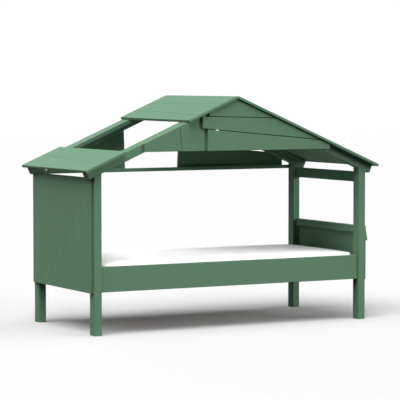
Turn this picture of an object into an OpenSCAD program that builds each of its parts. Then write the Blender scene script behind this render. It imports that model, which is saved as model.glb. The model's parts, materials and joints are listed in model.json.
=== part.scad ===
// Treehouse bed for a child: a post-framed single bed under a gabled roof of loose-laid boards.
// Long axis along X (head end at -X), front towards -Y, floor at Z = 0, all sizes in millimetres.
// Every timber, board, bracket, dowel, screw and slat is a solid of its own.

/* [Mattress] */
// Length of the mattress
mattress_l = 2000; // [1850:10:2200]
// Width of the mattress
mattress_w = 900; // [700:10:1200]
// Thickness of the mattress at its border
mattress_h = 137; // [80:1:220]
// Rise of the mattress's crown above its border
mattress_crown = 7; // [2:1:25]
// Depth by which the mattress's sides are drawn in at mid height
mattress_draw_in = 5; // [0:1:12]
// Plan radius of the mattress's corners
mattress_corner_r = 45; // [20:1:90]
// Radius of the mattress's long soft edges
mattress_edge_r = 14; // [6:1:30]
// Room between the mattress and the posts at each end
mattress_end_play = 20; // [8:1:40]
// Room between the mattress and the rail at each side
mattress_side_play = 5.4; // [3:0.1:20]

/* [Frame] */
// Post section along X
post_x = 55; // [40:1:90]
// Post section along Y
post_y = 73; // [60:1:110]
// Height of the posts at their outer faces
post_h = 1063.7; // [980:0.1:1250]
// Underside of the side and lower end rails above the floor
rail_z = 290; // [150:1:400]
// Height of the side and lower end rails
rail_h = 171.5; // [120:0.5:220]
// Thickness of the side rails
rail_t = 22; // [18:1:32]
// Setback of the side rails behind the outer faces of the posts
rail_setback = 10; // [2:1:20]
// Thickness of the rails across the two ends
end_rail_t = 27; // [20:1:38]
// Height of the middle end rails
mid_rail_h = 50; // [40:1:90]
// Top of the middle end rails above the floor
mid_rail_top = 667.5; // [600:0.5:800]
// Height of the upper end rails
upper_rail_h = 73; // [45:1:100]
// Gap from the upper end rails up to the posts' tops
upper_rail_gap = 8.7; // [2:0.1:60]
// Radius on the long edges of posts, rails and rafters
timber_round = 3; // [1:0.5:6]

/* [Slatted base] */
// Height of the slats' top above the underside of the rails
slat_rise = 50; // [48:1:100]
// Thickness of a slat
slat_t = 18; // [12:1:24]
// Width of a slat
slat_w = 78; // [50:1:100]
// Number of slats
slat_n = 14; // [10:1:16]
// Room between a slat's end and the side rail
slat_end_play = 3; // [1:0.5:8]
// Height of the ledger under the slats
ledger_h = 30; // [20:1:36]
// Thickness of the ledger
ledger_t = 22; // [15:1:30]
// Distance from the ledger's end to the post
ledger_end_play = 45; // [40:1:80]
// Width of the webbing that joins the slats
strap_w = 25; // [15:1:40]
// Thickness of the webbing
strap_t = 1.2; // [1:0.1:2]
// Distance of each webbing from the bed's centre line
strap_y = 300; // [150:5:320]

/* [Roof] */
// Pitch of both slopes in degrees
pitch = 23; // [21:0.5:27]
// Depth of a rafter, square to its slope
rafter_d = 58.5; // [40:0.5:75]
// Level reach of a rafter's top edge past the outer face of its post
rafter_tail = 57; // [35:1:90]
// Level reach of the roof boards' underside past the outer face of the post
eave_reach = 76; // [45:1:120]
// Reach of the roof past the front posts
roof_front_reach = 51.3; // [45:0.1:90]
// Reach of the roof past the back posts
roof_back_reach = 30.3; // [22:0.1:90]
// Thickness of all boards
board_t = 18; // [12:1:25]
// Bevel on the edges of the boards
board_ease = 1.5; // [0.5:0.5:3]
// Open joint between two roof boards
roof_joint = 1; // [0.5:0.5:4]
// Width of the batten on each rafter's inner face
batten_w = 28; // [20:1:40]
// Depth of that batten, square to the slope
batten_d = 25; // [15:1:35]
// Distance of the batten's lower end from the rafter's
batten_end_setback = 40; // [20:1:100]
// Left slope: lower edges of the three upper boards, from the ridge, at the front edge
left_upper_front = [123.4, 324.4, 412.4];
// The same edges at the back edge
left_upper_back = [151.4, 272.4, 403.4];
// Left slope: upper edges of the two lower boards, from the eave, at the front edge
left_lower_front = [320.5, 107];
// The same edges at the back edge
left_lower_back = [320.5, 178];
// Right slope: joints of the upper boards, from the ridge, at the front edge
right_upper_front = [131, 282, 401, 566, 694];
// The same joints at the back edge
right_upper_back = [156, 262, 432, 545, 716];
// Right slope: joints of the lower boards, from the eave, at the front edge
right_lower_front = [412.4, 284.4, 127.4];
// The same joints at the back edge
right_lower_back = [435.4, 259.4, 148.4];

/* [Gables] */
// Height of the front gable's underside above the posts' tops
gable_rise = 163.3; // [120:0.1:175]
// Open joint between two boards of the outer layer
gable_joint = 5; // [1:0.5:8]
// Open joint between two boards of the inner layer
gable_seam = 2; // [1:0.5:6]
// Distance of the front gable's left end from the centre
gable_a_end = 705; // [600:1:740]
// Distance of the joint between the first two boards from the centre, at the gable's underside
gable_seam_x = 422.5; // [300:0.5:480]
// Lean of that joint in degrees
gable_seam_lean = 3.87; // [0:0.01:8]
// Distance of the second board's right end from the centre
gable_b_end = 159; // [140:1:200]
// Distance of the backing board's left end from the centre
gable_back_board_start = 125; // [60:1:135]
// Distance of the front gable's right end from the centre
gable_right_end = 755; // [600:1:780]
// Distance of the ridge board's left end from the centre
ridge_board_end = 219; // [150:1:240]
// Drop of the ridge board's lower edge below the rafters' top at the ridge
ridge_board_drop = 125.4; // [80:0.1:160]
// Fall of the ridge board's lower edge towards the right, in degrees
ridge_board_fall = 1.52; // [0:0.01:4]
// Distance of the middle board's left end from the centre
middle_board_end = 270; // [240:1:300]
// Drop of the middle board's lower edge below the rafters' top at the centre line
middle_board_drop = 226.5; // [190:0.1:280]
// Fall of the middle board's lower edge towards the right, in degrees
middle_board_fall = 5.35; // [0:0.01:7]
// Distance of the lowest board's left end from the centre
lower_board_end = 229; // [150:1:240]
// Gap from the batten across the back up to the rafters, at the posts' inner faces
back_batten_gap = 13.1; // [2:0.1:40]
// Height of that batten
back_batten_h = 25.5; // [20:0.5:40]
// Thickness of that batten
back_batten_t = 27; // [18:1:35]
// Setback of the left back board's outer end behind the post's outer face
back_left_setback = 108; // [60:1:180]
// Distance of its inner end from the centre, at the batten
back_left_end = 356; // [250:1:500]
// Lean of that inner end in degrees
back_left_lean = 1.9; // [0:0.1:5]
// Distance of the right back board's inner end from the centre, at the batten
back_right_start = 75; // [40:1:150]
// Lean of that inner end in degrees
back_right_lean = 2.6; // [0:0.1:5]
// Setback of the right back board's outer end behind the post's outer face
back_right_setback = 110; // [60:1:220]
// Height of the right back board at its inner end
back_right_h = 194.5; // [150:0.5:220]
// Fall of that top edge towards the right, in degrees
back_right_fall = 5.31; // [0:0.01:8]

/* [Cladding] */
// Setback of the end cladding behind the outer faces of the posts
clad_setback = 16.4; // [2:0.1:30]
// Drop of the end cladding's underside below the rails
clad_drop = 4.5; // [0:0.5:60]
// Gap from the top of the head end's cladding up to the posts' tops
head_clad_gap = 3.7; // [2:0.1:60]
// Clearance of that cladding round the rafters' tails
tail_play = 1; // [0.5:0.5:3]
// Cover width of a cladding board
clad_cover = 125; // [90:1:160]
// Number of full boards between the two edge boards
clad_full_n = 5; // [3:1:5]
// Open joint between two cladding boards
clad_joint = 0.5; // [0.3:0.1:1.5]
// Bevel beside each joint, seen as a V-groove
clad_bevel = 2.5; // [1:0.5:4]
// Thickness of a tongue
tongue_t = 6; // [4:0.5:8]
// Length of a tongue
tongue_l = 7; // [4:0.5:10]
// Clearance round a tongue in its groove
tongue_play = 0.3; // [0.2:0.1:0.6]
// Drop of the slanted board's underside below the top of the foot end
slant_drop = 104.5; // [92:0.5:180]
// Height of the slanted board at its front end
slant_h_front = 92; // [60:1:104]
// Height of the slanted board at its back end
slant_h_back = 78; // [60:1:104]
// Slope of the slanted board's front end in degrees
slant_end_angle = 17.5; // [0:0.5:30]
// Setback of its lower front corner behind the post's outer face
slant_front_setback = 19.6; // [5:0.1:60]
// Setback of its lower back corner
slant_back_setback = 24; // [5:1:60]

/* [Fittings] */
// Diameter of a wooden dowel
dowel_d = 10; // [6:1:14]
// Length of a dowel
dowel_l = 60; // [40:1:80]
// Distance of a dowel's axis from the edge of its rail
dowel_edge = 14; // [10:1:20]
// Radial clearance of dowels and screws in their holes
hole_play = 0.1; // [0.05:0.05:0.3]
// Length of each leg of the steel corner bracket
bracket_leg = 36; // [28:1:40]
// Thickness of the bracket
bracket_t = 2.5; // [2:0.5:4]
// Height of the bracket
bracket_h = 90; // [60:1:100]
// Gap from the slats up to the bracket
bracket_lift = 8; // [2:1:20]
// Distance of a screw from the bracket's end and from its leg's edge
screw_inset = 14; // [9:1:16]
// Diameter of a screw's shank
screw_d = 5; // [4:0.5:7]
// Diameter of a screw's head
screw_head_d = 10; // [8:0.5:12]
// Height of a screw's head
screw_head_h = 2.5; // [1.5:0.5:4]
// Length of a screw under its head
screw_l = 20; // [15:1:22]

/* [Hidden] */
$fn = 48;
LEFT = -1;
RIGHT = 1;
FRONT = -1;
BACK = 1;
GREEN = [0.40, 0.53, 0.43];
RAW_WOOD = [0.80, 0.68, 0.50];
WHITE = [0.95, 0.95, 0.94];
STEEL = [0.70, 0.71, 0.73];
WEBBING = [0.88, 0.87, 0.82];

// Plan of the frame
post_in_x = mattress_l / 2 + mattress_end_play;
post_out_x = post_in_x + post_x;
rail_in_y = mattress_w / 2 + mattress_side_play;
rail_out_y = rail_in_y + rail_t;
post_out_y = rail_out_y + rail_setback;
post_in_y = post_out_y - post_y;
clad_y = post_out_y - clad_setback;

// The roof reaches further at the front, so the frame stands behind the middle of the footprint
frame_shift = (roof_front_reach - roof_back_reach) / 2;
roof_front_y = -post_out_y - roof_front_reach;
roof_back_y = post_out_y + roof_back_reach;

// Slopes: distances run down the slope from the rafters' top edge at the ridge
rafter_drop = rafter_d / cos(pitch);
ridge_z = post_h + rafter_drop + post_out_x * tan(pitch);
rafter_end = (post_out_x + rafter_tail) / cos(pitch);
eave = (post_out_x + eave_reach) / cos(pitch);
function roof_z(x) = ridge_z - abs(x) * tan(pitch);
function under_rafter_z(x) = roof_z(x) - rafter_drop;

// End rails: underside and height of each, from the lowest up
end_rails = [
    [rail_z, rail_h],
    [mid_rail_top - mid_rail_h, mid_rail_h],
    [post_h - upper_rail_gap - upper_rail_h, upper_rail_h]
];
LOWER = 0;
MIDDLE = 1;
UPPER = 2;
end_rail_x = post_out_x - end_rail_t / 2;

// Slatted base
slat_top = rail_z + slat_rise;
ledger_x = post_in_x - ledger_end_play;
slat_pitch = (2 * ledger_x - slat_w) / (slat_n - 1);
slat_half_l = rail_in_y - slat_end_play;

// Dowels: centres and directions, for one end of the bed and one face of it
dowel_r = dowel_d / 2;
ridge_dowel_z = ridge_z - rafter_drop / 2;
post_dowel_x = post_in_x + post_x / 2;
post_dowel_y = post_in_y + post_y / 2;
back_batten_y = post_out_y - back_batten_t;
back_batten_z = under_rafter_z(post_in_x) - back_batten_gap - back_batten_h;

// Corner brackets
bracket_z = slat_top + bracket_lift;
screw_heights = [bracket_z + screw_inset, bracket_z + bracket_h - screw_inset];

// Helpers

module in_frame() {
    translate([0, frame_shift, 0]) children();
}

module on_side(side) {
    if (side == LEFT) mirror([1, 0, 0]) children();
    else children();
}

module on_face(face) {
    if (face == FRONT) mirror([0, 1, 0]) children();
    else children();
}

// Rectangle from the origin with true round corners
module rounded_rect(w, h, r) {
    translate([r, 0]) square([w - 2 * r, h]);
    translate([0, r]) square([w, h - 2 * r]);
    for (x = [r, w - r], y = [r, h - r]) translate([x, y]) circle(r);
}

// Timber along X, from the origin, with rounded long edges
module timber(len, w, h) {
    rotate([90, 0, 90]) linear_extrude(len) rounded_rect(w, h, timber_round);
}

// Turns a drawing in the XZ plane into a solid between two places along Y
module along_y(y0, y1) {
    translate([0, y1, 0]) rotate([90, 0, 0]) linear_extrude(y1 - y0) children();
}

// Convex board on the XY plane, of the child's outline, with all its arrises bevelled
module eased_board() {
    hull() {
        translate([0, 0, board_ease]) linear_extrude(board_t - 2 * board_ease) children();
        linear_extrude(board_t) offset(delta = -board_ease) children();
    }
}

// Frame of one slope: X runs down it, Z is square to it, both from the rafters' top at the ridge
module slope() {
    translate([0, 0, ridge_z]) rotate([0, pitch, 0]) children();
}

// Everything on the right of the ridge
module right_half() {
    translate([0, -post_out_y - 1, 0])
        cube([2 * post_out_x, 2 * post_out_y + 2, 2 * ridge_z]);
}

module dowel(play = 0) {
    cylinder(h = dowel_l + 2 * play, r = dowel_r + play, center = true);
}

// Dowels between one post and the three end rails beside it, for the right back post
module end_rail_dowels(play = 0, rails = [LOWER, MIDDLE, UPPER]) {
    for (i = rails, z = [dowel_edge, end_rails[i][1] - dowel_edge])
        translate([end_rail_x, post_in_y, end_rails[i][0] + z]) rotate([90, 0, 0]) dowel(play);
}

// Upright dowel between the right back post and its rafter
module post_top_dowel(play = 0) {
    translate([post_dowel_x, post_dowel_y, under_rafter_z(post_dowel_x)]) dowel(play);
}

// Level dowel across the mitre of the two back rafters
module ridge_dowel(play = 0) {
    translate([0, post_dowel_y, ridge_dowel_z]) rotate([0, 90, 0]) dowel(play);
}

// Dowel between the right back post and the batten across the back
module back_batten_dowel(play = 0) {
    translate([post_in_x, back_batten_y + back_batten_t / 2, back_batten_z + back_batten_h / 2])
        rotate([0, 90, 0]) dowel(play);
}

// Screw along -Z, with the underside of its head on the XY plane
module screw(play = 0) {
    translate([0, 0, -screw_l - play]) cylinder(h = screw_l + play, d = screw_d + 2 * play);
    if (play == 0) cylinder(h = screw_head_h, d = screw_head_d);
}

// The four screws of the right back bracket
module bracket_screw_set(play = 0) {
    for (z = screw_heights) {
        translate([post_in_x - bracket_t, rail_in_y - bracket_leg + screw_inset, z])
            rotate([0, -90, 0]) screw(play);
        translate([post_in_x - bracket_leg + screw_inset, rail_in_y - bracket_t, z])
            rotate([90, 0, 0]) screw(play);
    }
}

// Frame pieces

module post(side, face) {
    color(GREEN) in_frame() on_side(side) on_face(face) difference() {
        intersection() {
            translate([post_in_x, post_in_y, 0])
                linear_extrude(ridge_z) rounded_rect(post_x, post_y, timber_round);
            along_y(post_in_y, post_out_y) polygon([
                [post_in_x, 0],
                [post_out_x, 0],
                [post_out_x, under_rafter_z(post_out_x)],
                [post_in_x, under_rafter_z(post_in_x)]
            ]);
        }
        end_rail_dowels(hole_play);
        post_top_dowel(hole_play);
        bracket_screw_set(hole_play);
        if (face == BACK) back_batten_dowel(hole_play);
    }
}

module side_rail(face) {
    color(GREEN) in_frame() on_face(face) difference() {
        translate([-post_in_x, rail_in_y, rail_z]) timber(2 * post_in_x, rail_t, rail_h);
        for (side = [LEFT, RIGHT]) on_side(side) bracket_screw_set(hole_play);
    }
}

module end_rail(side, level) {
    color(GREEN) in_frame() on_side(side) difference() {
        translate([post_out_x, -post_in_y, end_rails[level][0]])
            rotate([0, 0, 90]) timber(2 * post_in_y, end_rail_t, end_rails[level][1]);
        for (face = [FRONT, BACK]) on_face(face) end_rail_dowels(hole_play, [level]);
    }
}

module ledger(face) {
    color(RAW_WOOD) in_frame() on_face(face)
        translate([-ledger_x, rail_in_y - ledger_t, slat_top - slat_t - ledger_h])
        cube([2 * ledger_x, ledger_t, ledger_h]);
}

module slats() {
    color(RAW_WOOD) in_frame() for (i = [0 : slat_n - 1])
        translate([-ledger_x + i * slat_pitch, -slat_half_l, slat_top - slat_t])
            cube([slat_w, 2 * slat_half_l, slat_t]);
}

module slat_straps() {
    color(WEBBING) in_frame() for (face = [FRONT, BACK]) on_face(face)
        translate([-ledger_x, strap_y - strap_w / 2, slat_top - slat_t - strap_t])
            cube([2 * ledger_x, strap_w, strap_t]);
}

module corner_brackets() {
    color(STEEL) in_frame() for (side = [LEFT, RIGHT], face = [FRONT, BACK])
        on_side(side) on_face(face) difference() {
            translate([post_in_x, rail_in_y, bracket_z]) linear_extrude(bracket_h) polygon([
                [0, 0],
                [-bracket_leg, 0],
                [-bracket_leg, -bracket_t],
                [-bracket_t, -bracket_t],
                [-bracket_t, -bracket_leg],
                [0, -bracket_leg]
            ]);
            bracket_screw_set(hole_play);
        }
}

module bracket_screws() {
    color(STEEL) in_frame() for (side = [LEFT, RIGHT], face = [FRONT, BACK])
        on_side(side) on_face(face) bracket_screw_set();
}

module dowels() {
    color(RAW_WOOD) in_frame() {
        for (side = [LEFT, RIGHT], face = [FRONT, BACK]) on_side(side) on_face(face) {
            end_rail_dowels();
            post_top_dowel();
        }
        for (face = [FRONT, BACK]) on_face(face) ridge_dowel();
        for (side = [LEFT, RIGHT]) on_side(side) back_batten_dowel();
    }
}

// Mattress: rings of a rounded rectangle, each set in by its own distance

mattress_corner_n = 6;
mattress_edge_n = 3;
mattress_side_n = 6;
mattress_crown_n = 6;
mattress_ridge_half_w = 40;
mattress_ring_n = 4 * (mattress_corner_n + 1);

function mattress_ring(inset, z) = let (
        r = max(mattress_corner_r - inset, 2),
        hx = mattress_l / 2 - inset - r,
        hy = mattress_w / 2 - inset - r
    ) [
        for (quarter = [0 : 3], i = [0 : mattress_corner_n])
            let (a = 90 * (quarter + i / mattress_corner_n))
            [
                (quarter == 0 || quarter == 3 ? hx : -hx) + r * cos(a),
                (quarter < 2 ? hy : -hy) + r * sin(a),
                z
            ]
    ];

// Inset and height of each ring: rounded foot, drawn-in side, rounded shoulder, crown
mattress_profile = concat(
    [
        for (i = [0 : mattress_edge_n]) let (a = 90 * i / mattress_edge_n)
            [mattress_edge_r * (1 - sin(a)), mattress_edge_r * (1 - cos(a))]
    ],
    [
        for (i = [1 : mattress_side_n - 1]) let (t = i / mattress_side_n)
            [
                mattress_draw_in * sin(180 * t),
                mattress_edge_r + (mattress_h - 2 * mattress_edge_r) * t
            ]
    ],
    [
        for (i = [0 : mattress_edge_n]) let (a = 90 * i / mattress_edge_n)
            [mattress_edge_r * (1 - cos(a)), mattress_h - mattress_edge_r * (1 - sin(a))]
    ],
    [
        for (i = [1 : mattress_crown_n])
            let (
                t = i / mattress_crown_n,
                deepest = mattress_w / 2 - mattress_ridge_half_w
            )
            [
                mattress_edge_r + (deepest - mattress_edge_r) * t,
                mattress_h + mattress_crown * (1 - pow(1 - t, 2))
            ]
    ]
);

module mattress() {
    n = mattress_ring_n;
    last = len(mattress_profile) - 1;
    points = [for (p = mattress_profile) each mattress_ring(p[0], p[1])];
    sides = [
        for (k = [0 : last - 1], i = [0 : n - 1])
            let (a = k * n + i, b = k * n + (i + 1) % n)
            each [[a, a + n, b], [b, a + n, b + n]]
    ];
    foot = [for (i = [1 : n - 2]) [0, i, i + 1]];
    top = [for (i = [1 : n - 2]) [last * n, last * n + i + 1, last * n + i]];
    color(WHITE) in_frame() translate([0, 0, slat_top])
        polyhedron(points = points, faces = concat(foot, sides, top));
}

// Roof pieces

module rafter(side, face) {
    color(GREEN) in_frame() on_side(side) on_face(face) difference() {
        intersection() {
            slope() translate([-rafter_d, post_in_y, -rafter_d])
                timber(rafter_d + rafter_end, post_y, rafter_d);
            right_half();
        }
        post_top_dowel(hole_play);
        ridge_dowel(hole_play);
    }
}

module roof_batten(side, face) {
    color(GREEN) in_frame() on_side(side) on_face(face) intersection() {
        slope() translate([-rafter_d, post_in_y - batten_w, -batten_d])
            cube([rafter_d + rafter_end - batten_end_setback, batten_w, batten_d]);
        right_half();
    }
}

// Roof board between two lines that cross the slope, each given at the front and at the back
module roof_board(side, top, bottom) {
    color(GREEN) in_frame() on_side(side) slope() eased_board() polygon([
        [top[0], roof_front_y],
        [bottom[0], roof_front_y],
        [bottom[1], roof_back_y],
        [top[1], roof_back_y]
    ]);
}

left_n = 5;

// Upper and lower line of each board of the left slope, with the open joint taken off
module roof_left(i) {
    half = roof_joint / 2;
    upper = [for (k = [0 : 2]) [left_upper_front[k], left_upper_back[k]]];
    lower = [for (k = [0 : 1]) [eave - left_lower_front[k], eave - left_lower_back[k]]];
    if (i == 1) roof_board(LEFT, [0, 0], upper[0] - [half, half]);
    if (i == 2) roof_board(LEFT, upper[0] + [half, half], upper[1] - [half, half]);
    if (i == 3) roof_board(LEFT, upper[1] + [half, half], upper[2]);
    if (i == 4) roof_board(LEFT, lower[0], lower[1] - [half, half]);
    if (i == 5) roof_board(LEFT, lower[1] + [half, half], [eave, eave]);
}

// Joints of the right slope, all from the ridge
right_front = concat(right_upper_front, [for (d = right_lower_front) eave - d]);
right_back = concat(right_upper_back, [for (d = right_lower_back) eave - d]);
right_n = len(right_front) + 1;

module roof_right(i) {
    half = roof_joint / 2;
    top = i == 1 ? [0, 0] : [right_front[i - 2] + half, right_back[i - 2] + half];
    bottom = i == right_n ? [eave, eave] : [right_front[i - 1] - half, right_back[i - 1] - half];
    roof_board(RIGHT, top, bottom);
}

// Gable pieces: outlines in the XZ plane, cut to the roof's slopes

gable_bottom = post_h + gable_rise;
gable_lean = tan(gable_seam_lean);

// Everything between a level and the roof
module under_roof(level) {
    x = (ridge_z - level) / tan(pitch);
    polygon([[-x, level], [x, level], [0, ridge_z]]);
}

// Everything between two lines, each given by its height at the centre and its slope
module between(x0, x1, low, high) {
    polygon([
        [x0, low[0] + low[1] * x0],
        [x1, low[0] + low[1] * x1],
        [x1, high[0] + high[1] * x1],
        [x0, high[0] + high[1] * x0]
    ]);
}

module gable_board(layer) {
    color(GREEN) in_frame() translate([0, -post_out_y - (layer - 1) * board_t, 0]) rotate([90, 0, 0])
        eased_board() intersection() {
            under_roof(gable_bottom);
            children();
        }
}

INNER_LAYER = 1;
OUTER_LAYER = 2;

// Inner layer, left end
module gable_front_left() {
    x = -gable_seam_x - gable_seam / 2;
    gable_board(INNER_LAYER) polygon([
        [-gable_a_end, gable_bottom],
        [x, gable_bottom],
        [x - gable_lean * (ridge_z - gable_bottom), ridge_z],
        [-gable_a_end, ridge_z]
    ]);
}

// Inner layer, between the leaning joint and the middle
module gable_front_inner() {
    x = -gable_seam_x + gable_seam / 2;
    gable_board(INNER_LAYER) polygon([
        [x, gable_bottom],
        [-gable_b_end, gable_bottom],
        [-gable_b_end, ridge_z],
        [x - gable_lean * (ridge_z - gable_bottom), ridge_z]
    ]);
}

// Inner layer, behind the outer boards
module gable_front_backing() {
    gable_board(INNER_LAYER)
        between(-gable_back_board_start, gable_right_end - board_t, [gable_bottom, 0], [ridge_z, 0]);
}

// Lower edges of the ridge board and of the middle board
ridge_edge = [ridge_z - ridge_board_drop, -tan(ridge_board_fall)];
middle_edge = [ridge_z - middle_board_drop, -tan(middle_board_fall)];

// Outer layer, under the ridge
module gable_ridge_board() {
    gable_board(OUTER_LAYER) between(-ridge_board_end, post_out_x, ridge_edge, [2 * ridge_z, 0]);
}

// Outer layer, middle board
module gable_middle_board() {
    gable_board(OUTER_LAYER)
        between(-middle_board_end, post_out_x, middle_edge, ridge_edge - [gable_joint, 0]);
}

// Outer layer, lowest board
module gable_lower_board() {
    gable_board(OUTER_LAYER)
        between(-lower_board_end, gable_right_end, [gable_bottom, 0], middle_edge - [gable_joint, 0]);
}

module gable_back_batten() {
    color(GREEN) in_frame() difference() {
        translate([-post_in_x, back_batten_y, back_batten_z])
            timber(2 * post_in_x, back_batten_t, back_batten_h);
        for (side = [LEFT, RIGHT]) on_side(side) back_batten_dowel(hole_play);
    }
}

module back_gable_board() {
    color(GREEN) in_frame() translate([0, post_out_y + board_t, 0]) rotate([90, 0, 0])
        eased_board() intersection() {
            under_roof(back_batten_z);
            children();
        }
}

module gable_back_left() {
    start = post_out_x - back_left_setback;
    lean = tan(back_left_lean);
    back_gable_board() polygon([
        [-start, back_batten_z],
        [-back_left_end, back_batten_z],
        [-back_left_end - lean * (ridge_z - back_batten_z), ridge_z],
        [-start, ridge_z]
    ]);
}

module gable_back_right() {
    end = post_out_x - back_right_setback;
    inner_top = back_right_start + back_right_h * tan(back_right_lean);
    outer_drop = (end - inner_top) * tan(back_right_fall);
    back_gable_board() polygon([
        [back_right_start, back_batten_z],
        [end, back_batten_z],
        [end, back_batten_z + back_right_h - outer_drop],
        [inner_top, back_batten_z + back_right_h]
    ]);
}

// End cladding: tongued and grooved boards on the outer faces of the posts

clad_bottom = rail_z - clad_drop;
clad_n = clad_full_n + 2;
clad_first_y = -clad_full_n * clad_cover / 2;

// Section of one board from y0 to y1, with its inner face at x = 0
function clad_section(y0, y1, groove, tongue) = let (
        low = (board_t - tongue_t) / 2,
        high = low + tongue_t,
        deep = tongue_l + tongue_play
    ) concat(
        [[0, y0]],
        !groove ? [] : [
            [low - tongue_play, y0],
            [low - tongue_play, y0 + deep],
            [high + tongue_play, y0 + deep],
            [high + tongue_play, y0]
        ],
        [[board_t - clad_bevel, y0], [board_t, y0 + clad_bevel]],
        [[board_t, y1 - clad_bevel], [board_t - clad_bevel, y1]],
        !tongue ? [] : [
            [high, y1],
            [high, y1 + tongue_l],
            [low, y1 + tongue_l],
            [low, y1]
        ],
        [[0, y1]]
    );

// Board i of an end, counted from the front, on the outer face of the right posts
module clad_board(i, top) {
    first = i == 1;
    last = i == clad_n;
    y0 = first ? -clad_y : clad_first_y + (i - 2) * clad_cover + clad_joint / 2;
    y1 = last ? clad_y : clad_first_y + (i - 1) * clad_cover - clad_joint / 2;
    translate([post_out_x, 0, clad_bottom])
        linear_extrude(top - clad_bottom) polygon(clad_section(y0, y1, !first, !last));
}

// Room round the tails of the two rafters
module tail_room() {
    for (face = [FRONT, BACK]) on_face(face) slope()
        translate([0, post_in_y - tail_play, -rafter_d - tail_play])
        cube([2 * rafter_end, post_y + 2 * tail_play, 2 * rafter_d]);
}

module headboard(i) {
    color(GREEN) in_frame() on_side(LEFT) difference() {
        clad_board(i, post_h - head_clad_gap);
        if (i == 1 || i == clad_n) tail_room();
    }
}

module footboard() {
    color(GREEN) in_frame() for (i = [1 : clad_n]) clad_board(i, mid_rail_top);
}

module foot_slant_board() {
    y0 = -post_out_y + slant_front_setback;
    y1 = post_out_y - slant_back_setback;
    bottom = mid_rail_top - slant_drop;
    color(GREEN) in_frame() translate([post_out_x + board_t, 0, 0]) rotate([90, 0, 90])
        eased_board() polygon([
            [y0, bottom],
            [y1, bottom],
            [y1, bottom + slant_h_back],
            [y0 + slant_h_front * tan(slant_end_angle), bottom + slant_h_front]
        ]);
}

post(LEFT, FRONT);  // post_front_left
post(RIGHT, FRONT);  // post_front_right
post(LEFT, BACK);  // post_back_left
post(RIGHT, BACK);  // post_back_right
side_rail(FRONT);  // side_rail_front
side_rail(BACK);  // side_rail_back
end_rail(LEFT, LOWER);  // head_rail_lower
end_rail(LEFT, MIDDLE);  // head_rail_middle
end_rail(LEFT, UPPER);  // head_rail_upper
end_rail(RIGHT, LOWER);  // foot_rail_lower
end_rail(RIGHT, MIDDLE);  // foot_rail_middle
end_rail(RIGHT, UPPER);  // foot_rail_upper
ledger(FRONT);  // ledger_front
ledger(BACK);  // ledger_back
slats();
slat_straps();
mattress();
rafter(LEFT, FRONT);  // rafter_front_left
rafter(RIGHT, FRONT);  // rafter_front_right
rafter(LEFT, BACK);  // rafter_back_left
rafter(RIGHT, BACK);  // rafter_back_right
roof_batten(LEFT, FRONT);  // roof_batten_front_left
roof_batten(RIGHT, FRONT);  // roof_batten_front_right
roof_batten(LEFT, BACK);  // roof_batten_back_left
roof_batten(RIGHT, BACK);  // roof_batten_back_right
gable_front_left();
gable_front_inner();
gable_front_backing();
gable_ridge_board();
gable_middle_board();
gable_lower_board();
gable_back_batten();
gable_back_left();
gable_back_right();
footboard();
foot_slant_board();
corner_brackets();
bracket_screws();
dowels();
for (i = [1 : clad_n]) headboard(i);
for (i = [1 : left_n]) roof_left(i);
for (i = [1 : right_n]) roof_right(i);
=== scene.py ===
"""Treehouse bed: paint, bare timber, steel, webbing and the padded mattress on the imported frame.

Lengths are in metres in the row frame: +X from the head end to the foot end, +Y to the back, +Z up.
"""

import json
import math

import bpy
import numpy as np
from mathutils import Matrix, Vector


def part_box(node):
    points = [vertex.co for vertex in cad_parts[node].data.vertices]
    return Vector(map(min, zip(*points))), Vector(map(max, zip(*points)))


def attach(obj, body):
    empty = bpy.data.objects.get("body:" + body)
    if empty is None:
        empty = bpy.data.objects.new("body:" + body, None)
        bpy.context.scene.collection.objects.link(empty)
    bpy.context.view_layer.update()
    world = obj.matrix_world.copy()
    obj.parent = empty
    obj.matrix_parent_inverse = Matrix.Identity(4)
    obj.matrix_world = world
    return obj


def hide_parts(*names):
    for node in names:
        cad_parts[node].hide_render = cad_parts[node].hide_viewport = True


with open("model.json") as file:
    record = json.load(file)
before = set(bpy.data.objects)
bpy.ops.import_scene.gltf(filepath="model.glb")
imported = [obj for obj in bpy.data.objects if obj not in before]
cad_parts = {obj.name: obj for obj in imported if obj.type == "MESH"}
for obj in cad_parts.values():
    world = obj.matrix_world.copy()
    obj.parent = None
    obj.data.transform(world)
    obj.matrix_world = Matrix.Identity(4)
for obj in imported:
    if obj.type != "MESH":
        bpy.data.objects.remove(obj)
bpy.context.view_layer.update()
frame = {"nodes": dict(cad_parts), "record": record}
nodes = frame["nodes"]
slots = {piece["node"]: piece["material_slot"] for piece in frame["record"]["subparts"]}
scene = bpy.context.scene

# A noise is given below as its scale and its detail, and remapped from its common low to its
# common high
NOISE_NARROW = (0.3, 0.7)
NOISE_WIDE = (0.2, 0.8)

# Wood grain: how far its fibres are drawn out along it, and their noise's detail and roughness
FIBRE_DRAWN = (0.012, 1.0, 1.0)
FIBRE_DETAIL = 3.0
FIBRE_ROUGHNESS = 0.6
# How far its rings are drawn out, their lean from one face to the next, the noise that bows them and
# the noise that varies their width, each with the metres that it moves them, and their sharpness
RING_DRAWN = (0.10, 1.0, 1.0)
RING_LEAN = 0.6
RING_BOW = ((7.0, 2.0), 0.16)
RING_VARIES = ((32.0, 1.0), 0.022)
RING_SHARPNESS = 2.5
# Edges: samples of the rounded normal, its agreement with the flat one off and on an edge, the noise
# that breaks the mask up and its span, and what that noise leaves of the mask
EDGE_SAMPLES = 4
EDGE_AGREEMENT = (0.99, 0.80)
EDGE_NOISE = (38.0, 4.0)
EDGE_NOISE_SPAN = (0.42, 0.62)
EDGE_LEFT = (0.25, 1.0)

# Matt sage paint: how much deeper it is in the grain, how much paler where it is thin on the edges,
# and the most by which one piece's tone differs from the colour
PAINT = (0.113, 0.211, 0.137)
PAINT_DEEP = 0.86
PAINT_THIN = 1.16
PAINT_TONES = 0.02
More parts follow.
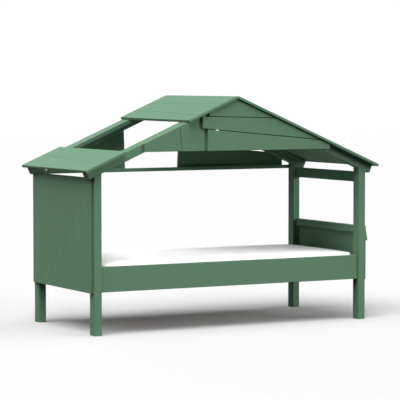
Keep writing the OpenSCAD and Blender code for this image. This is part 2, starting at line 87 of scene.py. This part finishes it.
# The fibres that a grain line shows on, the span of its lines, how strongly lines, clouds and thin
# edges show, and the noise of its clouds
PAINT_LINE_FIBRES = (0.35, 0.75)
PAINT_LINE_SPAN = (0.1, 0.9)
PAINT_LINES_SHOW = 0.55
PAINT_CLOUDS_SHOW = 0.22
PAINT_EDGES_SHOW = 0.7
PAINT_CLOUDS = (2.2, 3.0)
# Roughness as one number, and between fibres and on them; how much smoother the edges are worn; its
# reflection; the width of its edges; its grain; the fibres' share of the relief, and the relief as
# its strength and the metres that it is high
PAINT_ROUGHNESS = 0.55
PAINT_ROUGHNESS_SPAN = (0.50, 0.60)
PAINT_WORN = -0.06
PAINT_GLOSS = 0.01
PAINT_EDGE = 0.003
PAINT_GRAIN = {"Fibres per metre": 700.0, "Rings per metre": 55.0}
PAINT_FIBRE_RELIEF = 0.5
PAINT_BUMP = (0.25, 0.0004)

# Bare pine of the ledgers, slats and dowels, in the same terms
PINE_PALE = (0.62, 0.42, 0.21)
PINE_DARK = (0.40, 0.22, 0.085)
PINE_RINGS_SHOW = 0.75
PINE_FIBRES_SHOW = 0.25
PINE_ROUGHNESS = 0.6
PINE_ROUGHNESS_SPAN = (0.52, 0.70)
PINE_EDGE = 0.0015
PINE_GRAIN = {"Fibres per metre": 1400.0, "Rings per metre": 120.0}
PINE_BUMP = (0.35, 0.0003)

# Zinc plating: how dull a spangle may be and how strongly that shows, its spangles' scale, the noise
# of its rolled streaks, how far those are drawn out, and the roughness that they add
ZINC = (0.52, 0.53, 0.55)
ZINC_DULL = 0.78
ZINC_DULL_SHOWS = 0.5
SPANGLES = 260.0
STREAKS = (1500.0, 2.0)
STREAK_DRAWN = (1.0, 1.0, 0.04)
STREAK_ROUGHNESS = 0.12
ZINC_ROUGHNESS = 0.35
ZINC_ROUGHNESS_SPAN = (0.26, 0.40)
ZINC_EDGE = 0.0006
ZINC_BUMP = (0.2, 0.0001)

# Cotton webbing under the slats: the tone of the painted shade in its pits and the weave's height
# where the pits end, its threads per metre, the noise of its slubs and how much of the painted pit
# shade they leave, its roughness as one number, and in the pits and on the threads
COTTON = (0.66, 0.62, 0.52)
COTTON_SHADED = 0.7
COTTON_PIT = 0.7
COTTON_THREADS = 900.0
COTTON_SLUBS = (60.0, 3.0)
COTTON_SLUBS_LEFT = (0.5, 1.0)
COTTON_ROUGHNESS = 0.9
COTTON_ROUGHNESS_SPAN = (0.95, 0.8)
COTTON_BUMP = (0.6, 0.0004)

# Knitted cover of the mattress: the painted shade in its pits likewise, how strongly that pit shade
# and the soft clouds of random tone show, its stitches per metre, the noise of its clouds and its
# span, its pile, and its roughness in the clouds
COVER = (0.88, 0.885, 0.875)
# Darker cover colour: painted shade in the stitch pits, and a random darker tone in the clouds
COVER_SHADE_AND_TONE = 0.93
COVER_PIT = 0.6
COVER_PITS_SHOW = 0.35
COVER_CLOUDS_SHOW = 0.25
COVER_STITCHES = 700.0
COVER_CLOUDS = (9.0, 4.0)
COVER_CLOUD_SPAN = (0.35, 0.7)
COVER_PILE = 0.25
COVER_ROUGHNESS = 0.7
COVER_ROUGHNESS_SPAN = (0.66, 0.78)
STITCH_BUMP = (0.25, 0.0005)
CLOUD_BUMP = (0.15, 0.003)

# Pitch of the roof, which the rafters' and battens' grain follows
PITCH = math.radians(23)

# Mattress: height of its border, how far its seams lie from the edges, how deep they are drawn in,
# and how far inside the border the line lies that they are drawn towards
MATTRESS_BORDER_H = 0.137
SEAM_TO_EDGE = 0.019
SEAM_DEPTH = 0.0022
SEAM_PULL = 0.06
# Room left for the swell at the sides, and how far the loose cover stands past the foam at the ends
ROOM_TO_SWELL = 0.002
LOOSE_END = 0.011
# Plan radius of its corners, radius of its edges, rise of its middle, and draw of its sides
MATTRESS_CORNER = 0.065
MATTRESS_EDGE = 0.018
MATTRESS_CROWN = 0.0035
MATTRESS_DRAW_IN = 0.004
# Powers by which the top falls off towards the ends and the sides
CROWN_POWERS = (8, 2)
# Its grid: even cells along and across, lines in from each edge, rows beside each seam, even rows
# from seam to seam, and the distance within which a row counts as the seam's
MATTRESS_CELLS = (116, 52)
EDGE_ROWS = (0.0, 0.005, 0.011, 0.018)
SEAM_ROWS = (-0.009, -0.004, -0.0016, 0.0, 0.0016, 0.004, 0.009)
BORDER_ROWS = 9
SAME_ROW = 1e-6
# The cover as cloth: pressure inside, its stiffness, the steps and frames of swelling, and the most
# that a point may move
COVER_PRESSURE = 0.15
COVER_STIFFNESS = 40.0
COVER_BENDING = 0.5
CLOTH_STEPS = 4
SWELL_FRAMES = 12
MOST_SWELL = 0.007

# Camera: its place, its turn to the right of +Y and its dip below the level in radians, its lens
# and its film's width in mm, and how far it sees
CAMERA_PLACE = (-7.0652, -12.9110, 1.7155)
CAMERA_YAW = 0.5000
CAMERA_DIP = 0.0581
CAMERA_LENS = 186.615
CAMERA_FILM = 36.0
CAMERA_REACH = 200.0

# Direction that each lamp shines from (azimuth from the front towards +X, elevation, in degrees),
# the width of its disc in degrees, and its strength
LAMPS = {
    "overhead": (0, 90, 30, 0.92),
    "front_high": (-30, 75, 22, 0.69),
    "front_left": (-45, 55, 34, 2.42),
    "left_high": (-90, 55, 34, 0.33),
    "left": (-90, 40, 40, 1.20),
    "right": (90, 40, 40, 0.55),
    "front_right": (45, 25, 34, 0.56),
    "front_right_low": (45, 10, 30, 1.80),
    "right_low": (90, 10, 30, 1.35),
    "back_low": (180, 10, 30, 1.81),
}
WHITE = (1.0, 1.0, 1.0, 1.0)
# Strength of the sky as a light, the floor's paleness as seen and as it lights the object, and half
# of the floor's width
SKY = 0.005
FLOOR_SEEN = 0.51
FLOOR_BOUNCE = 0.05
FLOOR_HALF = 40.0

# Below this, a length counts as none
TINY = 1e-9
# Start of the random shifts and tones
SEED = 7


def add(tree, kind, links=None, **settings):
    """Adds a node of that kind. links gives inputs by name or number, each a socket or a value."""
    node = tree.nodes.new(kind)
    for key, value in settings.items():
        setattr(node, key, value)
    for key, value in (links or {}).items():
        if isinstance(value, bpy.types.NodeSocket):
            tree.links.new(value, node.inputs[key])
        else:
            node.inputs[key].default_value = value
    return node


def use(tree, group_tree, links):
    """Places a node group in a material and returns its outputs."""
    return add(tree, "ShaderNodeGroup", links, node_tree=group_tree).outputs


def math_node(tree, operation, a, b=0.0):
    """The result of one operation on two numbers or sockets."""
    return add(tree, "ShaderNodeMath", {0: a, 1: b}, operation=operation).outputs[0]


def times(tree, a, b):
    """The product of two numbers or sockets."""
    return math_node(tree, "MULTIPLY", a, b)


def plus(tree, a, b):
    """The sum of two numbers or sockets."""
    return math_node(tree, "ADD", a, b)


def drawn_out(tree, vector, factors):
    """A vector with each number multiplied by its factor, so a small factor draws a pattern out."""
    links = {0: vector, 1: factors}
    return add(tree, "ShaderNodeVectorMath", links, operation="MULTIPLY").outputs[0]


def noise(tree, vector, scale, detail, **more):
    """Smooth noise from 0 to 1, mostly near a half."""
    links = {"Vector": vector, "Scale": scale, "Detail": detail, **more}
    return add(tree, "ShaderNodeTexNoise", links).outputs["Fac"]


def remap(tree, value, span, onto=(0.0, 1.0)):
    """Stretches value from span to onto, and holds it there."""
    return add(tree, "ShaderNodeMapRange", {
        "Value": value, "From Min": span[0], "From Max": span[1],
        "To Min": onto[0], "To Max": onto[1]}).outputs[0]


def mix_colour(tree, factor, a, b):
    """Colour a where factor is 0 and b where it is 1."""
    a, b = (c if isinstance(c, bpy.types.NodeSocket) else (*c, 1.0) for c in (a, b))
    return add(tree, "ShaderNodeMix", data_type="RGBA", links={0: factor, 6: a, 7: b}).outputs[2]


def bumped(tree, height, size, normal=None):
    """The normal of a relief of that height. size is its strength and its metres at height 1."""
    strength, distance = size
    links = {"Height": height, "Strength": strength, "Distance": distance}
    if normal is not None:
        links["Normal"] = normal
    return add(tree, "ShaderNodeBump", links).outputs[0]


def toned(colour, factor):
    """A colour with each channel multiplied by the factor."""
    return tuple(channel * factor for channel in colour)


def group(name, inputs, outputs):
    """An empty node group, as (group, the sockets coming in, the sockets going out)."""
    tree = bpy.data.node_groups.new(name, "ShaderNodeTree")
    for socket, kind in inputs:
        tree.interface.new_socket(socket, in_out="INPUT", socket_type="NodeSocket" + kind)
    for socket, kind in outputs:
        tree.interface.new_socket(socket, in_out="OUTPUT", socket_type="NodeSocket" + kind)
    start = tree.nodes.new("NodeGroupInput")
    end = tree.nodes.new("NodeGroupOutput")
    return tree, start.outputs, end.inputs


def make_grain():
    """Wood grain along the vector's X: fine fibres, and growth rings cut lengthways.

    The depth is y + 0.6 z, moved by two slow noises. A ring's shade is the fraction of the depth
    times the rings per metre, to the power 2.5, so that each ring darkens slowly and ends sharply.
    """
    tree, start, end = group(
        "wood_grain",
        [("Vector", "Vector"), ("Fibres per metre", "Float"), ("Rings per metre", "Float")],
        [("Fibres", "Float"), ("Rings", "Float")],
    )
    fine = drawn_out(tree, start["Vector"], FIBRE_DRAWN)
    fibres = noise(tree, fine, start["Fibres per metre"], FIBRE_DETAIL, Roughness=FIBRE_ROUGHNESS)
    slow = drawn_out(tree, start["Vector"], RING_DRAWN)
    across = add(tree, "ShaderNodeSeparateXYZ", {0: slow}).outputs
    depth = plus(tree, across["Y"], times(tree, across["Z"], RING_LEAN))
    for uneven, moved in (RING_BOW, RING_VARIES):
        depth = plus(tree, depth, times(tree, noise(tree, slow, *uneven), moved))
    turn = math_node(tree, "FRACT", times(tree, depth, start["Rings per metre"]))
    tree.links.new(fibres, end["Fibres"])
    tree.links.new(math_node(tree, "POWER", turn, RING_SHARPNESS), end["Rings"])
    return tree


def make_edges():
    """Arrises: a mask that is 1 on edges, broken up by noise, and the normal that rounds them.

    The mask grows as the rounded normal and the flat one agree less (their dot product).
    """
    tree, start, end = group(
        "eased_edges",
        [("Vector", "Vector"), ("Width", "Float")],
        [("Mask", "Float"), ("Normal", "Vector")],
    )
    width = {"Radius": start["Width"]}
    rounded = add(tree, "ShaderNodeBevel", width, samples=EDGE_SAMPLES).outputs[0]
    flat = add(tree, "ShaderNodeNewGeometry").outputs["True Normal"]
    agree = add(tree, "ShaderNodeVectorMath", {0: rounded, 1: flat}, operation="DOT_PRODUCT")
    edge = remap(tree, agree.outputs["Value"], EDGE_AGREEMENT)
    uneven = noise(tree, start["Vector"], *EDGE_NOISE)
    left = remap(tree, uneven, EDGE_NOISE_SPAN, EDGE_LEFT)
    tree.links.new(times(tree, edge, left), end["Mask"])
    tree.links.new(rounded, end["Normal"])
    return tree


def make_weave():
    """Plain weave in the vector's XY plane.

    Its height is the size of sin(pi n x) times sin(pi n y), with n the threads per metre.
    """
    tree, start, end = group(
        "weave",
        [("Vector", "Vector"), ("Threads per metre", "Float")],
        [("Height", "Float")],
    )
    turns = times(tree, start["Threads per metre"], math.pi)
    place = add(tree, "ShaderNodeSeparateXYZ", {0: start["Vector"]}).outputs
    waves = [math_node(tree, "SINE", times(tree, place[axis], turns)) for axis in "XY"]
    tree.links.new(math_node(tree, "ABSOLUTE", times(tree, *waves)), end["Height"])
    return tree


GRAIN, EDGES, WEAVE = make_grain(), make_edges(), make_weave()

# Turn that lays a piece's own grain along the pattern's X
TURN = {
    "x": (0.0, 0.0, 0.0),
    "y": (0.0, 0.0, -math.pi / 2),
    "z": (0.0, math.pi / 2, 0.0),
    "right_slope": (0.0, -PITCH, 0.0),
    "left_slope": (0.0, PITCH, 0.0),
}


def new_material(name, roughness, colour, metallic=0.0):
    """A material with only its Principled shader, as (material, node tree, shader)."""
    material = bpy.data.materials.new(name)
    material.use_nodes = True
    tree = material.node_tree
    tree.nodes.clear()
    shader = add(tree, "ShaderNodeBsdfPrincipled", {
        "Base Color": (*colour, 1.0), "Roughness": roughness, "Metallic": metallic})
    add(tree, "ShaderNodeOutputMaterial", {"Surface": shader.outputs[0]})
    return material, tree, shader


def finish(tree, shader, colour, rough, normal):
    """Leads a material's colour, roughness and normal into its shader."""
    for socket, value in (("Base Color", colour), ("Roughness", rough), ("Normal", normal)):
        tree.links.new(value, shader.inputs[socket])


def own_vector(tree, along="x", shift=(0.0, 0.0, 0.0)):
    """Object coordinates, turned to lay the grain along X and moved on by the piece's own shift."""
    place = add(tree, "ShaderNodeTexCoord").outputs["Object"]
    return add(tree, "ShaderNodeMapping", {
        "Vector": place, "Location": shift, "Rotation": TURN[along]}).outputs[0]


def painted(name, along, rng):
    """Matt paint over fine wood: the grain shows faintly, and the paint is thinner on the edges."""
    material, tree, shader = new_material("paint_" + name, PAINT_ROUGHNESS, PAINT)
    shader.inputs["Specular IOR Level"].default_value = PAINT_GLOSS
    vector = own_vector(tree, along, rng.uniform(-5, 5, 3))
    grain = use(tree, GRAIN, {"Vector": vector, **PAINT_GRAIN})
    edges = use(tree, EDGES, {"Vector": vector, "Width": PAINT_EDGE})
    base = toned(PAINT, 1 + rng.uniform(-PAINT_TONES, PAINT_TONES))
    deep, thin = toned(base, PAINT_DEEP), toned(base, PAINT_THIN)
    line = times(tree, grain["Rings"], remap(tree, grain["Fibres"], PAINT_LINE_FIBRES))
    line = remap(tree, line, PAINT_LINE_SPAN, (0.0, PAINT_LINES_SHOW))
    cloud = noise(tree, vector, *PAINT_CLOUDS)
    cloud = remap(tree, cloud, NOISE_NARROW, (0.0, PAINT_CLOUDS_SHOW))
    colour = mix_colour(tree, line, base, deep)
    colour = mix_colour(tree, cloud, colour, deep)
    colour = mix_colour(tree, times(tree, edges["Mask"], PAINT_EDGES_SHOW), colour, thin)
    rough = remap(tree, grain["Fibres"], NOISE_WIDE, PAINT_ROUGHNESS_SPAN)
    rough = plus(tree, rough, times(tree, edges["Mask"], PAINT_WORN))
    height = plus(tree, times(tree, grain["Fibres"], PAINT_FIBRE_RELIEF), grain["Rings"])
    finish(tree, shader, colour, rough, bumped(tree, height, PAINT_BUMP, edges["Normal"]))
    return material


def bare_pine(name, along, rng):
    """Planed unfinished pine: pale early wood between darker rings, with fine fibres."""
    material, tree, shader = new_material("pine_" + name, PINE_ROUGHNESS, PINE_PALE)
    vector = own_vector(tree, along, rng.uniform(-5, 5, 3))
    grain = use(tree, GRAIN, {"Vector": vector, **PINE_GRAIN})
    edges = use(tree, EDGES, {"Vector": vector, "Width": PINE_EDGE})
    ring = times(tree, grain["Rings"], PINE_RINGS_SHOW)
    fibre = remap(tree, grain["Fibres"], NOISE_NARROW, (0.0, PINE_FIBRES_SHOW))
    colour = mix_colour(tree, ring, PINE_PALE, PINE_DARK)
    colour = mix_colour(tree, fibre, colour, PINE_DARK)
    rough = remap(tree, grain["Fibres"], NOISE_WIDE, PINE_ROUGHNESS_SPAN)
    relief = bumped(tree, grain["Fibres"], PINE_BUMP, edges["Normal"])
    finish(tree, shader, colour, rough, relief)
    return material


def zinc_plate(name, rng):
    """Zinc-plated steel: a faint spangle, rolled streaks and softer edges."""
    material, tree, shader = new_material("zinc_" + name, ZINC_ROUGHNESS, ZINC, metallic=1.0)
    vector = own_vector(tree, shift=rng.uniform(-1, 1, 3))
    edges = use(tree, EDGES, {"Vector": vector, "Width": ZINC_EDGE})
    spangle = add(tree, "ShaderNodeTexVoronoi", {"Vector": vector, "Scale": SPANGLES})
    tint = add(tree, "ShaderNodeSeparateColor", {0: spangle.outputs["Color"]}).outputs[0]
    streaks = noise(tree, drawn_out(tree, vector, STREAK_DRAWN), *STREAKS)
    dull = times(tree, tint, ZINC_DULL_SHOWS)
    colour = mix_colour(tree, dull, ZINC, toned(ZINC, ZINC_DULL))
    rough = remap(tree, tint, (0.0, 1.0), ZINC_ROUGHNESS_SPAN)
    rough = plus(tree, rough, times(tree, streaks, STREAK_ROUGHNESS))
    finish(tree, shader, colour, rough, bumped(tree, streaks, ZINC_BUMP, edges["Normal"]))
    return material


def cotton_webbing(name):
    """Undyed cotton webbing: a plain weave with slubs, and painted shade in the pits between its
    threads.
    """
    material, tree, shader = new_material("webbing_" + name, COTTON_ROUGHNESS, COTTON)
    vector = own_vector(tree)
    weave = use(tree, WEAVE, {"Vector": vector, "Threads per metre": COTTON_THREADS})["Height"]
    pits = remap(tree, weave, (0.0, COTTON_PIT), (1.0, 0.0))
    slubs = noise(tree, vector, *COTTON_SLUBS)
    shade = times(tree, pits, remap(tree, slubs, NOISE_NARROW, COTTON_SLUBS_LEFT))
    # Painted shade: the pits between the threads are darkened in the colour, less where slubs fill
    # them
    colour = mix_colour(tree, shade, COTTON, toned(COTTON, COTTON_SHADED))
    rough = remap(tree, weave, (0.0, 1.0), COTTON_ROUGHNESS_SPAN)
    finish(tree, shader, colour, rough, bumped(tree, weave, COTTON_BUMP))
    return material


def knitted_cover():
    """White knitted cover: stitch rows with painted shade in their pits, a soft pile and faint
    long-range unevenness of tone.
    """
    material, tree, shader = new_material("knitted_cover", COVER_ROUGHNESS, COVER)
    shader.inputs["Sheen Weight"].default_value = COVER_PILE
    vector = own_vector(tree)
    weave = use(tree, WEAVE, {"Vector": vector, "Threads per metre": COVER_STITCHES})["Height"]
    soft = noise(tree, vector, *COVER_CLOUDS)
    shade_and_tone = toned(COVER, COVER_SHADE_AND_TONE)
    pits = times(tree, remap(tree, weave, (0.0, COVER_PIT), (1.0, 0.0)), COVER_PITS_SHOW)
    cloud = remap(tree, soft, COVER_CLOUD_SPAN, (0.0, COVER_CLOUDS_SHOW))
    # Painted shade darkens the pits between the stitches; the clouds are a random darker tone
    colour = mix_colour(tree, pits, COVER, shade_and_tone)
    colour = mix_colour(tree, cloud, colour, shade_and_tone)
    rough = remap(tree, soft, NOISE_NARROW, COVER_ROUGHNESS_SPAN)
    stitches = bumped(tree, weave, STITCH_BUMP)
    finish(tree, shader, colour, rough, bumped(tree, soft, CLOUD_BUMP, stitches))
    return material


# How the grain of each wooden node runs, by the start of its name
ALONG = {
    "x": ("side_rail", "gable_", "ledger"),
    "y": ("head_rail", "foot_rail", "slats", "roof_left_", "roof_right_", "foot_slant_board",
          "dowels"),
    "z": ("post_", "footboard", "headboard_"),
    "left_slope": ("rafter_front_left", "rafter_back_left",
                   "roof_batten_front_left", "roof_batten_back_left"),
    "right_slope": ("rafter_front_right", "rafter_back_right",
                    "roof_batten_front_right", "roof_batten_back_right"),
}


def grain_of(name):
    """The direction that a wooden node's grain runs in."""
    return next(along for along, starts in ALONG.items() if name.startswith(starts))


def dress(name, rng):
    """Gives a CAD node the material of its slot."""
    slot = slots[name]
    if slot == "painted_wood":
        material = painted(name, grain_of(name), rng)
    elif slot == "raw_wood":
        material = bare_pine(name, grain_of(name), rng)
    elif slot == "zinc_steel":
        material = zinc_plate(name, rng)
    else:
        material = cotton_webbing(name)
    mesh = nodes[name].data
    mesh.materials.clear()
    mesh.materials.append(material)


def dress_frame():
    """Dresses every CAD node but the mattress, which has a piece of its own."""
    rng = np.random.default_rng(SEED)
    for name in sorted(nodes):
        if name != "mattress":
            dress(name, rng)


def box_skin(levels):
    """Points from -1 to 1 and quads of a box's skin: six flat grids whose shared edges are merged.

    levels gives the grid lines along each axis, so that rows can be set close together at a seam.
    """
    points, faces, start = [], [], 0
    for axis in range(3):
        a, b = [(1, 2), (2, 0), (0, 1)][axis]
        s, t = np.meshgrid(levels[a], levels[b], indexing="ij")
        k = np.arange(s.size).reshape(s.shape)
        quads = np.stack([k[:-1, :-1], k[1:, :-1], k[1:, 1:], k[:-1, 1:]], -1).reshape(-1, 4)
        for side in (-1, 1):
            p = np.empty((s.size, 3))
            p[:, axis], p[:, a], p[:, b] = side, s.ravel(), t.ravel()
            points.append(p)
            faces.append((quads if side > 0 else quads[:, ::-1]) + start)
            start += s.size
    unique, where = np.unique(np.round(np.concatenate(points), 6), axis=0, return_inverse=True)
    return unique, where[np.concatenate(faces)]


def grid_lines(half, cells):
    """Even lines from -1 to 1, with closer ones beside each end, where the edge is rounded."""
    even = np.linspace(-1, 1, cells + 1) * (1 - EDGE_ROWS[-1] / half)
    ends = 1 - np.array(EDGE_ROWS[:-1]) / half
    return np.concatenate([-ends, even, ends[::-1]])


def soften(points, half):
    """Turns the box's skin into a mattress.

    In plan, a point's distance past the inner rectangle becomes its radius, which rounds the four
    corners. Across each edge, the distances to the side and to the top become a quarter circle. The
    top then rises as (1 - u^8)(1 - v^2), with u and v from -1 to 1 along and across, and the sides
    go in as the sine of the height.
    """
    corner, edge = MATTRESS_CORNER, MATTRESS_EDGE
    p = points.copy()
    inner = half[:2] - corner
    core = np.clip(p[:, :2], -inner, inner)
    out = p[:, :2] - core
    reach = np.abs(out).max(1)
    length = np.hypot(*out.T)
    way = np.divide(out, length[:, None], out=np.zeros_like(out), where=length[:, None] > TINY)
    to_side = np.maximum(reach - (corner - edge), 0)
    to_top = np.maximum(np.abs(p[:, 2]) - (half[2] - edge), 0)
    round_here = (to_side > 0) & (to_top > 0)
    far = np.maximum(np.hypot(to_side, to_top), TINY)
    scale = np.where(round_here, np.maximum(to_side, to_top) / far, 1.0)
    height = np.where(to_top > 0, half[2] - edge + to_top * scale, np.abs(p[:, 2]))
    height *= np.sign(p[:, 2])
    reach = np.where(to_side > 0, corner - edge + to_side * scale, reach)
    belly = np.sin(np.pi * (height + half[2]) / (2 * half[2]))
    reach = np.where(to_side > 0, reach - MATTRESS_DRAW_IN * belly, reach)
    p[:, :2] = core + way * reach[:, None]
    u, v = p[:, 0] / half[0], p[:, 1] / half[1]
    end_power, side_power = CROWN_POWERS
    fall = np.clip(1 - u ** end_power, 0, 1), np.clip(1 - v ** side_power, 0, 1)
    p[:, 2] = height + np.where(p[:, 2] > 0, MATTRESS_CROWN * fall[0] * fall[1], 0)
    return p


def mesh_object(name, points, faces, smooth=True):
    """An object at the origin with that mesh."""
    mesh = bpy.data.meshes.new(name)
    mesh.from_pydata(points.tolist(), [], faces.tolist())
    mesh.polygons.foreach_set("use_smooth", np.full(len(mesh.polygons), smooth))
    mesh.update()
    obj = bpy.data.objects.new(name, mesh)
    scene.collection.objects.link(obj)
    return obj


def place_of(obj):
    """The mesh's points as an array."""
    points = np.empty(len(obj.data.vertices) * 3, np.float32)
    obj.data.vertices.foreach_get("co", points)
    return points.reshape(-1, 3).astype(float)


def swell(obj, seam_points):
    """The cover's points when blown up over its foam as cloth, held along its two seams.

    A point that the cloth would move by d moves by m * tanh(d / m) the same way, with m the most
    it may.
    """
    seam = obj.vertex_groups.new(name="seam")
    seam.add(seam_points.tolist(), 1.0, "REPLACE")
    cloth = obj.modifiers.new("cover", "CLOTH")
    cover = cloth.settings
    cover.quality = CLOTH_STEPS
    cover.use_pressure = True
    cover.uniform_pressure_force = COVER_PRESSURE
    cover.tension_stiffness = cover.compression_stiffness = COVER_STIFFNESS
    cover.bending_stiffness = COVER_BENDING
    cover.effector_weights.gravity = 0.0
    cover.vertex_group_mass = seam.name
    cloth.point_cache.frame_end = SWELL_FRAMES
    start = place_of(obj)
    for number in range(1, SWELL_FRAMES + 1):
        scene.frame_set(number)
    move = place_of(obj.evaluated_get(bpy.context.evaluated_depsgraph_get())) - start
    obj.modifiers.remove(cloth)
    scene.frame_set(1)
    far = np.maximum(np.linalg.norm(move, axis=1), TINY)[:, None]
    return start + move / far * MOST_SWELL * np.tanh(far / MOST_SWELL)


def draw_seams_in(points, sewn, half, centre):
    """Moves the sewn points straight towards the mattress's inside, which cuts the two grooves."""
    flat = points[sewn, :2] - centre[:2]
    core = half[:2] - SEAM_PULL
    inward = np.clip(flat, -core, core) - flat
    points[sewn, :2] += inward / np.linalg.norm(inward, axis=1)[:, None] * SEAM_DEPTH


def make_mattress():
    """The padded mattress: swollen as cloth, sewn round its border, and flat on the slats."""
    low, high = (np.array(c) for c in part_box("mattress"))
    half = np.array([*(high - low)[:2] / 2, MATTRESS_BORDER_H / 2])
    centre = np.array([*(high + low)[:2] / 2, low[2] + MATTRESS_BORDER_H / 2])
    seam = half[2] - SEAM_TO_EDGE
    near = np.array(SEAM_ROWS)
    middle = np.linspace(-seam, seam, BORDER_ROWS)[2:-2]
    rows = np.concatenate([[-half[2]], near - seam, middle, near + seam, [half[2]]]) / half[2]
    lines = [grid_lines(half[i], MATTRESS_CELLS[i]) for i in (0, 1)]
    unit, faces = box_skin([*lines, rows])
    foam = half + np.array([LOOSE_END, -ROOM_TO_SWELL, 0.0])
    piece = mesh_object("padded_mattress", soften(unit * foam, foam) + centre, faces)
    sewn = np.nonzero(np.abs(np.abs(unit[:, 2]) * half[2] - seam) < SAME_ROW)[0]
    points = swell(piece, sewn)
    points[:, 2] = np.maximum(points[:, 2], low[2])
    draw_seams_in(points, sewn, half, centre)
    piece.data.vertices.foreach_set("co", points.ravel())
    piece.data.update()
    smooth = piece.modifiers.new("smooth", "SUBSURF")
    smooth.levels = smooth.render_levels = 1
    piece.data.materials.append(knitted_cover())
    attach(piece, "root")
    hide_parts("mattress")


def ray_to_eye(tree):
    """1 for what is seen (straight, in a reflection or through glass), and 0 for what only lights."""
    path = add(tree, "ShaderNodeLightPath").outputs
    through = math_node(tree, "MAXIMUM", path["Is Glossy Ray"], path["Is Transmission Ray"])
    return math_node(tree, "MAXIMUM", path["Is Camera Ray"], through)


def make_floor():
    """A pale level floor. It lights the object less than it shows, so undersides stay dark."""
    corners = np.array([[-1, -1, 0], [1, -1, 0], [1, 1, 0], [-1, 1, 0]]) * FLOOR_HALF
    floor = mesh_object("floor", corners, np.array([[0, 1, 2, 3]]), smooth=False)
    material = bpy.data.materials.new("floor")
    material.use_nodes = True
    tree = material.node_tree
    tree.nodes.clear()
    bounce, seen = (
        add(tree, "ShaderNodeBsdfDiffuse", {"Color": (grey, grey, grey, 1.0)}).outputs[0]
        for grey in (FLOOR_BOUNCE, FLOOR_SEEN))
    mix = add(tree, "ShaderNodeMixShader", {0: ray_to_eye(tree), 1: bounce, 2: seen})
    add(tree, "ShaderNodeOutputMaterial", {"Surface": mix.outputs[0]})
    floor.data.materials.append(material)


def make_world():
    """Plain white where the camera or a reflection sees it, and a faint sky as a light."""
    world = bpy.data.worlds.new("studio")
    scene.world = world
    world.use_nodes = True
    tree = world.node_tree
    tree.nodes.clear()
    sky, white = (
        add(tree, "ShaderNodeBackground", {"Color": WHITE, "Strength": strength}).outputs[0]
        for strength in (SKY, 1.0))
    mix = add(tree, "ShaderNodeMixShader", {0: ray_to_eye(tree), 1: sky, 2: white})
    add(tree, "ShaderNodeOutputWorld", {"Surface": mix.outputs[0]})


def make_lamps():
    """Soft distant lamps, each a wide disc."""
    for name, (azimuth, elevation, width, strength) in LAMPS.items():
        lamp = bpy.data.lights.new(name, "SUN")
        lamp.energy = strength
        lamp.angle = math.radians(width)
        obj = bpy.data.objects.new(name, lamp)
        obj.rotation_euler = (math.radians(90 - elevation), 0.0, math.radians(azimuth))
        scene.collection.objects.link(obj)


def make_camera():
    """The camera at the photograph's place."""
    camera = bpy.data.cameras.new("camera")
    camera.lens = CAMERA_LENS
    camera.sensor_width = CAMERA_FILM
    camera.clip_end = CAMERA_REACH
    obj = bpy.data.objects.new("camera", camera)
    obj.location = CAMERA_PLACE
    obj.rotation_euler = (math.pi / 2 - CAMERA_DIP, 0.0, -CAMERA_YAW)
    scene.collection.objects.link(obj)
    scene.camera = obj


dress_frame()
make_mattress()
make_floor()
make_world()
make_lamps()
make_camera()
scene.view_settings.view_transform = "Standard"
